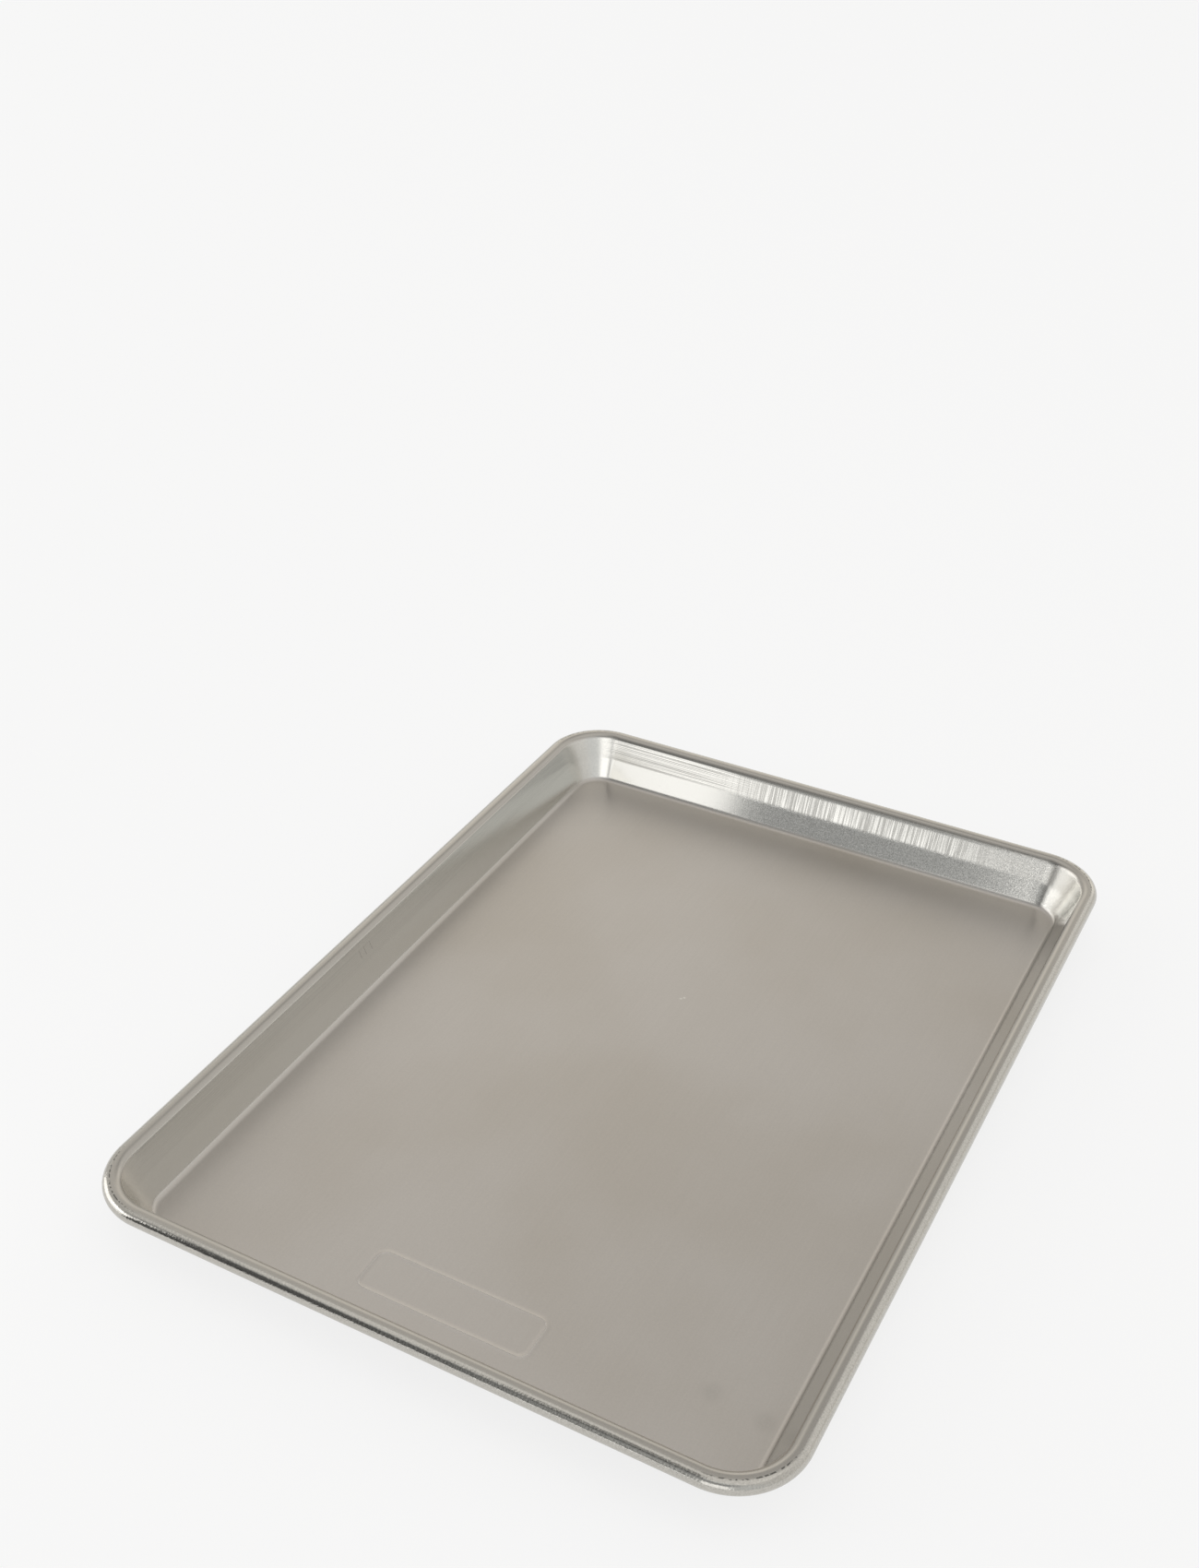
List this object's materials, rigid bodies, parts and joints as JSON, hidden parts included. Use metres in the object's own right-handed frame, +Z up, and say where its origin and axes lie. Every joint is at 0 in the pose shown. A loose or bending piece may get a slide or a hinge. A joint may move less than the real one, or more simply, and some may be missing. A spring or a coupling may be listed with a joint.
{
  "type": "half sheet pan",
  "caption": "Shallow rectangular baking tray pressed from bare aluminium sheet, with rounded corners, walls that lean out and a rolled rim curled round a steel wire.",
  "frame": {"origin": "middle of the pan's underside, on the surface that it stands on", "axes": "+Z up out of the pan, +Y along its long side, with -Y the short side nearest to the camera in the picture, +X along its short side"},
  "size_m": [0.327, 0.454, 0.0264],
  "materials": {
    "pan_aluminium": "bare satin aluminium with fine rolling grain, burnished on the walls and bright on the bead",
    "wire_steel": "galvanised wire, dull grey"
  },
  "bodies": {
    "root": {"pan_body": "pan_aluminium", "rim_wire": "wire_steel"}
  },
  "joints": []
}
